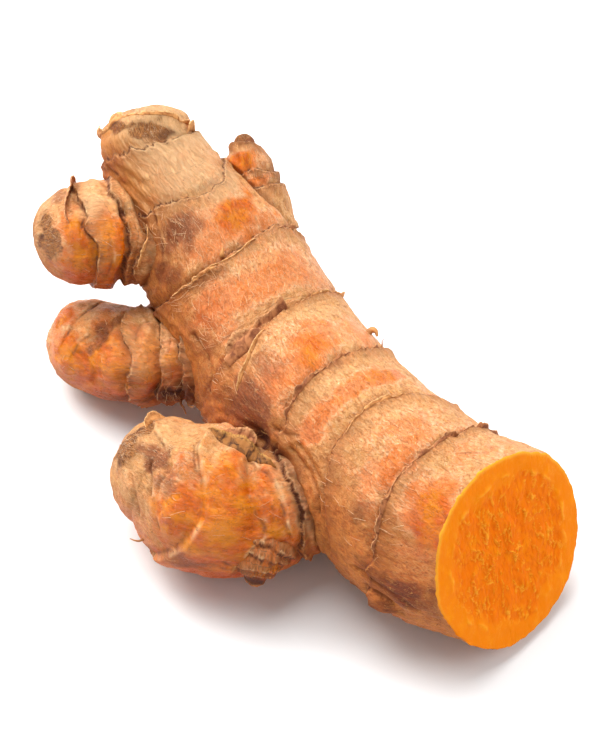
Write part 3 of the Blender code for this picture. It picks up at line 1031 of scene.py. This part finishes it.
B_LUMPS = [
    (20.4, 153, 2.4, 2.6, 0.81), (13.6, 149, 1.6, 2.2, 0.72), (10.4, 145, 1.2, 2.4, 0.72),
    (7.2, 135, 1.0, 2.4, 0.63), (23.0, 98, 1.8, 2.4, 0.63), (16.7, 114, 1.6, 1.8, -0.81),
    (18.2, 90, 1.6, 2.4, 0.63), (10.4, 100, 1.0, 2.6, 0.54),
]
B_DABS = {
    # Painted light: a faint pale dab that lifts the shaded ribs.
    "pale": [(9.0, 118, 4.0, 5.0, 0.15, 0.5)],
    "rosy": [
        (9.0, 125, 4.0, 4.0, 0.6, 0.5), (14.0, 142, 9.0, 4.6, 0.85, 0.5),
        (20.0, 150, 3.2, 3.4, 1.0, 0.4), (13.6, 150, 2.0, 3.0, 1.0, 0.4),
        (10.4, 145, 1.4, 3.0, 0.95, 0.4), (7.2, 136, 1.2, 2.8, 0.9, 0.4),
        (17.6, 92, 2.0, 3.0, 0.6, 0.5), (23.2, 100, 2.2, 3.6, 0.7, 0.5),
        (10.5, 100, 1.6, 3.0, 0.4, 0.6), (16.0, 210, 5.0, 4.0, 0.7, 0.4),
        (16.0, 270, 5.0, 5.0, 0.7, 0.4), (15.0, 20, 5.0, 5.0, 0.6, 0.5),
    ],
    "gold": [
        (14.0, 155, 11.0, 8.0, 0.36, 0.5), (16.0, 150, 7.0, 2.8, 0.5, 0.5),
        (20.4, 154, 2.0, 2.2, 1.0, 0.3), (13.5, 149, 1.4, 1.8, 1.0, 0.3),
        (10.4, 149, 0.9, 1.8, 0.85, 0.3), (7.2, 137, 0.8, 1.8, 0.85, 0.3),
        (23.2, 98, 1.4, 1.6, 0.7, 0.4), (16.6, 165, 2.0, 1.6, 0.5, 0.4),
    ],
    "straw": [
        (19.5, 100, 1.8, 4.0, 0.6, 0.5), (10.4, 105, 3.6, 2.6, 0.5, 0.6),
    ],
    "stain": [
        (16.8, 116, 1.9, 1.7, 1.0, 0.4), (15.0, 93, 1.0, 2.4, 0.75, 0.5),
        (14.6, 205, 3.0, 1.4, 0.8, 0.6), (11.4, 96, 0.9, 1.4, 0.4, 0.5),
    ],
    # Dirt, with painted shade in hollows and where stems meet.
    "dirt_and_shade": [
        (7.6, 180, 2.4, 1.0, 0.95, 0.6), (5.0, 175, 2.0, 1.6, 0.8, 0.6),
    ],
    "cork": [
        (8.0, 195, 3.0, 1.6, 0.8, 0.6), (24.5, 150, 1.2, 1.6, 0.25, 0.5),
    ],
}

C_RINGS = [
    ([(60, 6.2), (107, 5.3), (139, 5.0), (157, 5.7), (175, 6.4), (230, 6.5), (300, 6.5)], 0.45,
      0.2),
]
C_CREASES = [
    ([(23.6, 118), (23.1, 124), (22.2, 130), (21.3, 142)], 0.3, 0.3, 0.8),
    ([(20.6, 112), (20.7, 126), (20.5, 138), (19.7, 147), (18.6, 160)], 0.22, 0.35, 0.45),
    ([(11.0, 84), (10.8, 94), (10.4, 114), (9.9, 130), (10.2, 142)], 0.5, 0.6, 0.15),
    ([(6.8, 84), (6.0, 92), (5.3, 101), (4.6, 106)], 0.3, 0.3, 0.9),
    ([(8.7, 112), (8.0, 124), (8.3, 138)], 0.12, 0.3, 0.25),
    ([(25.5, 136), (23.6, 150), (22.0, 170)], 0.25, 0.45, 0.4),
    ([(7.6, 172), (7.8, 184), (8.6, 200)], 0.3, 0.35, 0.8),
    ([(12.6, 172), (11.6, 184), (11.6, 198)], 0.25, 0.35, 0.7),
]
C_RIDGES = [
    ([(18.6, 78), (17.9, 92), (16.3, 105), (15.2, 116), (14.7, 136), (15.2, 153), (16.5, 172),
      (18.2, 190)], 0.9, 0.36, 0.6),
    ([(10.6, 82), (7.8, 91), (6.9, 106), (6.8, 123), (7.0, 139), (7.2, 152)], 0.4, 0.28, 0.7),
    ([(27.2, 75), (25.6, 86), (24.1, 94), (22.6, 99), (21.5, 104)], 0.35, 0.22, 0.7),
    ([(11.8, 186), (10.7, 166), (9.6, 155), (8.8, 153), (7.9, 160)], 0.24, 0.25, 0.8),
    ([(18.6, 88), (18.1, 96), (16.8, 106)], 0.14, 0.2, 0.6),
    ([(9.6, 128), (9.0, 140), (9.4, 150)], 0.1, 0.22, 0.7),
]
C_LUMPS = [
    (17.2, 142, 1.8, 2.6, 0.81), (12.4, 125, 1.8, 3.0, 0.72), (12.8, 152, 2.2, 3.2, 0.9),
    (13.2, 94, 2.4, 3.0, 0.9), (8.4, 118, 1.4, 3.2, 0.63), (22.5, 108, 2.0, 2.2, 0.54),
    (24.0, 150, 2.0, 3.0, 0.54), (19.2, 96, 1.8, 2.6, 0.63), (27.4, 110, 1.4, 2.6, 0.45),
]
C_DABS = {
    # Painted light: a faint pale dab that lifts the shaded collar.
    "pale": [(4.6, 112, 2.6, 6.0, 0.22, 0.5)],
    "rosy": [
        (4.6, 118, 2.6, 5.0, 0.6, 0.5), (12.0, 140, 6.0, 8.5, 0.85, 0.5),
        (12.4, 128, 3.0, 5.0, 0.85, 0.4), (17.0, 140, 2.2, 3.6, 0.9, 0.4),
        (8.2, 136, 1.6, 3.6, 1.0, 0.35), (13.0, 152, 3.0, 4.0, 0.95, 0.4),
        (18.6, 112, 2.0, 2.6, 0.55, 0.5), (20.5, 128, 1.6, 2.2, 0.5, 0.5),
        (13.2, 96, 2.8, 3.6, 0.45, 0.5), (6.6, 150, 1.0, 3.0, 0.9, 0.3),
        (14.0, 215, 5.0, 6.0, 0.75, 0.4), (22.0, 200, 4.0, 5.0, 0.6, 0.4),
        (14.0, 280, 6.0, 8.0, 0.7, 0.4), (15.0, 30, 5.0, 7.0, 0.6, 0.5),
    ],
    "gold": [
        (12.0, 155, 9.0, 12.0, 0.36, 0.5), (12.6, 143, 5.0, 6.5, 0.6, 0.5),
        (17.0, 143, 1.9, 2.6, 1.0, 0.3), (12.9, 153, 2.6, 3.2, 0.85, 0.3),
        (12.2, 124, 1.6, 2.2, 0.8, 0.4), (8.0, 146, 1.2, 2.4, 0.8, 0.3),
        (13.2, 96, 1.8, 2.0, 0.35, 0.4), (8.6, 122, 1.2, 1.6, 0.4, 0.4),
    ],
    "straw": [
        (24.0, 90, 3.4, 5.0, 0.8, 0.4), (22.0, 140, 4.0, 4.0, 0.3, 0.5),
        (13.2, 90, 3.0, 3.0, 0.6, 0.5), (9.5, 112, 1.2, 4.0, 0.5, 0.6),
    ],
    "stain": [
        (23.6, 108, 2.4, 2.2, 0.9, 0.5), (19.6, 122, 2.6, 1.8, 0.7, 0.5),
        (15.6, 178, 1.8, 2.0, 0.7, 0.5), (22.4, 160, 3.0, 2.0, 0.4, 0.5),
    ],
    "cork": [
        (28.0, 112, 2.2, 3.2, 0.95, 0.5), (27.6, 84, 1.6, 2.4, 0.8, 0.6),
        (14.2, 180, 1.4, 1.8, 0.45, 0.6), (18.6, 200, 2.0, 1.6, 0.5, 0.6),
    ],
    # Dirt, with painted shade in hollows and where stems meet.
    "dirt_and_shade": [
        (28.4, 84, 0.8, 1.0, 0.6, 0.6), (28.0, 142, 0.7, 1.0, 0.5, 0.6),
        (4.6, 130, 1.0, 3.0, 0.5, 0.6),
    ],
}

D_RINGS = [
    ([(0, 7.2), (66, 7.9), (99, 8.4), (133, 8.1), (200, 8.0), (290, 7.4)], 0.28, 0.15),
    ([(12, 5.8), (72, 6.0), (130, 6.4), (200, 6.2), (290, 5.8)], 0.28, 0.15),
    ([(20, 11.4), (70, 12.0), (130, 12.6), (230, 12.4), (300, 11.6)], 0.2, 0.15),
]
D_DABS = {
    "rosy": [
        (10.0, 128, 2.0, 3.4, 1.0, 0.3), (7.0, 100, 0.8, 3.0, 0.9, 0.3), (9.6, 60, 1.4, 2.0, 0.5, 0.5),
        (9.0, 260, 3.0, 4.0, 0.8, 0.4),
    ],
    "gold": [(10.2, 122, 1.4, 1.6, 0.8, 0.3)],
    "stain": [
        (12.4, 60, 0.7, 1.8, 1.0, 0.4), (10.8, 40, 1.4, 1.0, 0.7, 0.5), (8.0, 20, 3.0, 1.2, 0.6, 0.5),
    ],
    "cork": [(13.8, 100, 1.0, 2.6, 0.75, 0.4)],
}

BUD_RINGS = [
    ([(0, 1.7), (90, 1.9), (180, 2.2), (270, 1.8)], 0.3, 0.2),
    ([(0, 2.9), (90, 2.7), (180, 3.2), (270, 2.8)], 0.3, 0.2),
    ([(0, 3.7), (90, 3.9), (180, 4.0), (270, 3.6)], 0.28, 0.18),
    ([(0, 4.8), (90, 4.7), (180, 5.1), (270, 4.8)], 0.22, 0.15),
]
BUD_DABS = {
    "rosy": [
        (3.0, 100, 2.6, 6.0, 1.0, 0.3), (3.0, 250, 2.6, 8.0, 0.9, 0.3),
    ],
    "gold": [(5.0, 120, 1.4, 2.4, 0.7, 0.4)],
    # Dirt, with painted shade in hollows.
    "dirt_and_shade": [(6.0, 100, 0.7, 1.8, 0.9, 0.4)],
    "stain": [(4.8, 20, 1.4, 3.0, 0.8, 0.5)],
    "cork": [(6.0, 200, 1.0, 2.0, 0.7, 0.5)],
}


def shape(skin, rings, creases, ridges, lumps, dabs, others, shade=(0.55, -0.35, 0.0)):
    """Gives a skin its lumps, scars, folds and paint, and settles it. The shade is how far up the
    skin faces where it is light, the same where it is dark, and how much its side counts."""
    skin.wrinkle()
    for form, table in (
        (skin.lump, lumps), (skin.ring, rings), (skin.crease, creases), (skin.ridge, ridges),
    ):
        for row in table:
            form(*row)
    for paint, patches in dabs.items():
        for patch in patches:
            skin.dab(paint, *patch)
    skin.crowd(others)
    skin.settle(*shade)


main = Stem(MAIN_STEM, 0.45, 1.0)
stem_a = Stem(FINGER_A, 0.9, 11.0)
stem_b = Stem(FINGER_B, 0.9, 21.0)
stem_c = Stem(FINGER_C, 0.95, 31.0)
stem_d = Stem(FINGER_D, 1.0, 41.0)
stem_bud = Stem(BUD, 0.8, 51.0)

main_skin = Skin("main_root", main, 336, 292, cut_lengths(main))
skin_a = Skin("finger_a", stem_a, 200, 280)
skin_b = Skin("finger_b", stem_b, 270, 280)
skin_c = Skin("finger_c", stem_c, 280, 330)
skin_d = Skin("finger_d", stem_d, 130, 180)
skin_bud = Skin("bud", stem_bud, 90, 170)

shape(main_skin, MAIN_RINGS, MAIN_CREASES, MAIN_RIDGES, MAIN_LUMPS, MAIN_DABS,
      [stem_a, stem_b, stem_c, stem_d], (1.0, 0.10, 0.30))
shape(skin_a, A_RINGS, A_CREASES, A_RIDGES, A_LUMPS, A_DABS, [main])
shape(skin_b, B_RINGS, B_CREASES, B_RIDGES, B_LUMPS, B_DABS, [main])
shape(skin_c, C_RINGS, C_CREASES, C_RIDGES, C_LUMPS, C_DABS, [main])
shape(skin_d, D_RINGS, [], [], [], D_DABS, [main])
shape(skin_bud, BUD_RINGS, [], [], [], BUD_DABS, [])

skin_material = root_skin()
flesh_material = root_flesh()
brown_scale = dry_scale("brown_scale", tone(118, 62, 32), tone(182, 116, 70), tone(214, 156, 104))
straw_scale = dry_scale("straw_scale", tone(158, 94, 44), tone(216, 152, 90), tone(240, 190, 128))
ochre_scale = dry_scale("ochre_scale", tone(66, 34, 12), tone(156, 100, 46), tone(190, 138, 72))
pale_fibre = dry_fibre("pale_fibre", tone(248, 208, 160), tone(230, 170, 116))
brown_fibre = dry_fibre("brown_fibre", tone(132, 74, 34), tone(202, 140, 78))

pieces = [skin.mesh(skin_material) for skin in (main_skin, skin_a, skin_b, skin_c, skin_d, skin_bud)]
pieces.append(cut_face(main_skin, flesh_material))

# Torn scales: name, skin, feet of (mm, degrees, reach in mm, slope in degrees), curl in degrees,
# raggedness and finish.
SCALES = [
    ("flake_left", main_skin, [
        (47.3, 136, 1.6, 14), (46.9, 129, 3.4, 14), (46.6, 119, 3.8, 12), (47.2, 112, 2.6, 12),
        (48.2, 107, 0.8, 12)
    ], 10, 0.25, brown_scale),
    ("flake_right", main_skin, [
        (48.3, 113, 0.6, 16), (48.6, 107, 2.0, 16), (49.1, 100, 1.9, 14), (49.9, 93, 1.8, 14),
        (50.6, 87, 3.0, 16), (51.0, 84, 0.4, 16)
    ], 16, 0.3, brown_scale),
    ("loose_strand", main_skin, [
        (47.9, 106, 0.2, 25), (47.2, 112, 0.4, 30), (46.4, 118, 0.5, 30), (45.5, 126, 0.4, 30),
        (44.9, 134, 0.5, 30), (44.3, 142, 0.2, 30)
    ], 30, 0.4, straw_scale),
    ("fringe_third", main_skin, [
        (50.9, 80, 0.3, 30), (52.0, 68, 0.5, 35), (53.2, 54, 0.7, 40), (53.6, 40, 0.9, 45),
        (54.0, 20, 0.5, 45)
    ], 30, 0.5, straw_scale),
    ("fringe_fourth", main_skin, [
        (37.2, 135, 0.3, 40), (38.2, 122, 0.7, 40), (38.4, 114, 0.9, 40), (38.9, 102, 0.7, 35),
        (39.1, 92, 0.8, 30), (39.4, 78, 0.6, 30), (39.5, 64, 0.3, 30), (39.9, 46, 0.4, 35)
    ], 30, 0.7, brown_scale),
    ("fringe_fifth", main_skin, [
        (30.6, 112, 0.2, 30), (31.1, 98, 0.3, 30), (31.0, 86, 0.6, 35), (30.6, 76, 0.6, 35),
        (29.6, 58, 0.2, 30)
    ], 30, 0.7, straw_scale),
    ("teeth_low", main_skin, [
        (20.0, 160, 0.4, 35), (20.4, 142, 0.5, 35), (20.9, 126, 0.7, 35), (21.5, 114, 0.7, 40),
        (21.7, 104, 0.4, 35)
    ], 30, 0.8, brown_scale),
    ("teeth_high", main_skin, [
        (21.4, 102, 0.5, 35), (21.1, 95, 1.1, 35), (21.0, 86, 0.5, 35), (20.9, 76, 0.8, 35),
        (20.6, 62, 0.7, 40), (19.8, 50, 0.6, 45), (19.0, 36, 0.5, 45), (18.0, 15, 0.4, 45)
    ], 30, 0.9, brown_scale),
    ("fringe_second", main_skin, [
        (65.0, 152, 0.4, 35), (64.9, 138, 0.7, 35), (65.0, 124, 0.8, 30), (65.2, 110, 0.6, 30),
        (65.3, 96, 0.5, 30), (65.7, 80, 0.3, 30)
    ], 30, 0.8, straw_scale),
    ("fringe_right", main_skin, [
        (65.6, 58, 0.4, 40), (65.2, 44, 0.7, 45), (64.6, 30, 0.6, 45), (64.2, 10, 0.4, 45)
    ], 30, 0.6, brown_scale),
    ("tip_sheath", main_skin, [
        (84.6, 20, 0.7, 20), (85.4, 40, 0.6, 20), (86.6, 66, 0.5, 10), (87.4, 92, 0.5, 5),
        (88.0, 118, 1.2, 5), (87.6, 145, 1.6, 5), (86.8, 170, 1.6, 10), (86.4, 200, 1.0, 15),
        (86.2, 230, 0.6, 20)
    ], 25, 0.5, straw_scale),
    ("tip_flap", main_skin, [
        (83.6, 46, 0.5, 50), (84.0, 38, 1.3, 50), (84.0, 30, 1.2, 50), (83.6, 22, 0.4, 50)
    ], -10, 0.3, straw_scale),
    ("curl_a", skin_a, [
        (12.6, 40, 0.4, 40), (13.0, 56, 1.2, 45), (13.4, 74, 1.5, 45), (13.8, 92, 1.3, 35),
        (13.8, 108, 0.8, 20), (13.6, 118, 0.3, 10)
    ], 110, 0.2, brown_scale),
    ("collar_a", skin_a, [
        (3.6, 60, 0.5, 30), (3.4, 90, 0.8, 30), (2.6, 120, 0.7, 30), (2.8, 143, 0.6, 30),
        (3.4, 165, 0.5, 30)
    ], 20, 0.5, straw_scale),
    ("nub_c", skin_c, [
        (27.0, 50, 0.4, 30), (27.6, 62, 1.1, 35), (27.8, 74, 1.0, 30), (27.6, 84, 0.4, 20)
    ], 60, 0.3, straw_scale),
    ("hollow_flap", skin_c, [
        (18.8, 72, 0.4, 8), (16.9, 77, 1.6, 10), (14.8, 79, 2.6, 12), (12.4, 82, 2.8, 16),
        (10.1, 84, 2.4, 18), (7.9, 85, 1.8, 20), (6.4, 86, 0.4, 20)
    ], 12, 0.16, ochre_scale, -math.pi / 2),
    ("hollow_flap_back", skin_c, [
        (17.0, 60, 0.4, 30), (15.0, 62, 1.4, 35), (12.8, 60, 1.6, 40), (10.6, 62, 1.2, 40)
    ], 20, 0.35, brown_scale, -math.pi / 2),
    ("flap_d", skin_d, [
        (7.4, 150, 0.3, 50), (7.6, 160, 1.1, 55), (7.6, 172, 0.3, 50)
    ], 10, 0.4, brown_scale),
]
pieces += [torn_scale(*scale) for scale in SCALES]

dice = np.random.default_rng(11)
# Hairs: how many, length, turn, half spreads in mm and degrees, heading and spread, size, lift.
MAIN_HAIRS = [
    (36, 60.0, 95, 4.5, 45, 0, 25, 2.6, 0.1), (36, 63.5, 125, 1.6, 26, 70, 40, 2.2, 0.3),
    (24, 74.0, 135, 3.0, 14, 10, 60, 2.4, 0.25), (24, 70.0, 118, 4.0, 20, 10, 30, 2.6, 0.12),
    (30, 55.0, 135, 3.0, 12, 20, 35, 2.2, 0.15), (24, 46.0, 140, 3.0, 14, 10, 30, 1.8, 0.12),
    (24, 43.0, 80, 4.0, 40, 10, 30, 1.8, 0.08), (30, 34.0, 95, 3.0, 45, 10, 30, 1.6, 0.08),
    (36, 25.0, 110, 3.5, 55, 5, 25, 1.6, 0.08), (24, 19.3, 115, 1.4, 50, 10, 50, 1.4, 0.2),
    (24, 80.0, 90, 2.5, 50, 0, 30, 2.0, 0.1), (72, 50.0, 270, 32.0, 110, 0, 35, 2.2, 0.12),
]
C_HAIRS = [(42, 16.0, 120, 11.0, 60, 0, 50, 1.6, 0.08), (24, 27.5, 105, 1.5, 30, 60, 90, 1.2, 0.25)]
B_HAIRS = [(36, 15.0, 120, 9.0, 50, 0, 60, 1.4, 0.08), (24, 6.5, 175, 3.0, 25, 90, 60, 1.6, 0.35)]
A_HAIRS = [(30, 10.0, 120, 6.0, 60, 0, 60, 1.4, 0.08)]
strands = hairs(main_skin, MAIN_HAIRS, dice) + hairs(skin_c, C_HAIRS, dice)
strands += hairs(skin_b, B_HAIRS, dice) + hairs(skin_a, A_HAIRS, dice)
pieces.append(threads("pale_hairs", strands, pale_fibre))

DARK_HAIRS = [
    (24, 38.0, 150, 3.0, 14, 60, 80, 2.0, 0.5), (18, 49.0, 150, 3.0, 12, 30, 60, 2.0, 0.4),
    (18, 20.5, 110, 1.0, 55, 90, 60, 1.0, 0.3), (18, 38.5, 95, 1.0, 45, 90, 60, 1.0, 0.3),
]
strands = hairs(main_skin, DARK_HAIRS, dice)
strands += hairs(skin_b, [(24, 6.0, 185, 3.0, 25, 80, 70, 2.0, 0.6)], dice)
strands += [
    rootlet(skin_b, 7.0, 205, [(0.6, -0.2, 0.3), (1.2, -0.8, 0.5), (1.9, -1.2, 0.3)], 0.22),
    rootlet(skin_b, 6.0, 200, [(0.8, -0.6, 0.6), (1.2, -1.6, 1.4), (0.8, -2.2, 2.4)], 0.14),
    rootlet(skin_c, 20.5, 196, [(0.5, 0.2, 0.0), (1.0, 0.6, 0.3), (1.2, 1.2, -0.2)], 0.20),
    rootlet(main_skin, 41.0, 34, [(0.5, 0.3, 0.0), (0.9, 0.8, 0.1), (1.3, 1.0, 0.5)], 0.12),
    rootlet(main_skin, 44.0, 36, [(0.5, 0.0, 0.0), (0.8, -0.6, 0.0), (0.5, -1.2, 0.1)], 0.55),
    rootlet(main_skin, 66.1, 108, [(0.3, 0.2, 0.1), (0.5, 0.5, 0.3), (0.4, 0.9, 0.6)], 0.42),
]
pieces.append(threads("dark_hairs", strands, brown_fibre))

for piece in pieces:
    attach(piece, "root")
    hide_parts(NODE)


# ---------------------------------------------------------------- floor, lights, camera

def pale_floor():
    bpy.ops.object.select_all(action="DESELECT")
    bpy.ops.mesh.primitive_plane_add(size=6.0, location=(0, 0, low.z))
    floor = bpy.context.object
    floor.name = "floor"
    material, start = new_material("white_board")
    shader = start.tree.nodes.new("ShaderNodeBsdfPrincipled")
    shader.inputs["Base Color"].default_value = (0.9, 0.9, 0.9, 1.0)
    shader.inputs["Roughness"].default_value = 0.9
    out = start.tree.nodes.new("ShaderNodeOutputMaterial")
    start.tree.links.new(shader.outputs[0], out.inputs[0])
    floor.data.materials.append(material)


def soft_light(name, place, aim, size, power):
    lamp = bpy.data.lights.new(name, "AREA")
    lamp.energy = power
    lamp.size = size
    light = bpy.data.objects.new(name, lamp)
    bpy.context.scene.collection.objects.link(light)
    light.location = place
    light.rotation_euler = (Vector(place) - Vector(aim)).to_track_quat("Z", "Y").to_euler()


def studio():
    scene = bpy.context.scene
    scene.view_settings.view_transform = "Standard"
    world = bpy.data.worlds.new("studio")
    scene.world = world
    world.use_nodes = True
    sky = world.node_tree.nodes["Background"]
    sky.inputs["Color"].default_value = (1.0, 1.0, 1.0, 1.0)
    sky.inputs["Strength"].default_value = 0.44
    soft_light("overhead", (-0.16, 0.00, 0.48), (0, 0, 0.01), 0.40, 2.7)
    soft_light("left", (-0.40, -0.14, 0.30), (0, 0, 0.01), 0.35, 2.5)
    soft_light("right", (0.26, 0.38, 0.30), (0, 0, 0.01), 0.35, 1.2)


def camera():
    """From the cut end and the finger side, well above."""
    azimuth = math.radians(60)
    elevation = math.radians(52)
    back = Vector((
        math.sin(azimuth) * math.cos(elevation),
        -math.cos(azimuth) * math.cos(elevation),
        math.sin(elevation),
    ))
    aim = Vector(MIDDLE) + Vector((-3.2, 4.8, 10.0)) * MM
    lens = bpy.data.cameras.new("camera")
    lens.lens = 120
    lens.sensor_width = 36
    lens.clip_start = 0.01
    view = bpy.data.objects.new("camera", lens)
    bpy.context.scene.collection.objects.link(view)
    view.location = aim + back * CAMERA_DISTANCE
    view.rotation_euler = back.to_track_quat("Z", "Y").to_euler()
    bpy.context.scene.camera = view


pale_floor()
studio()
camera()
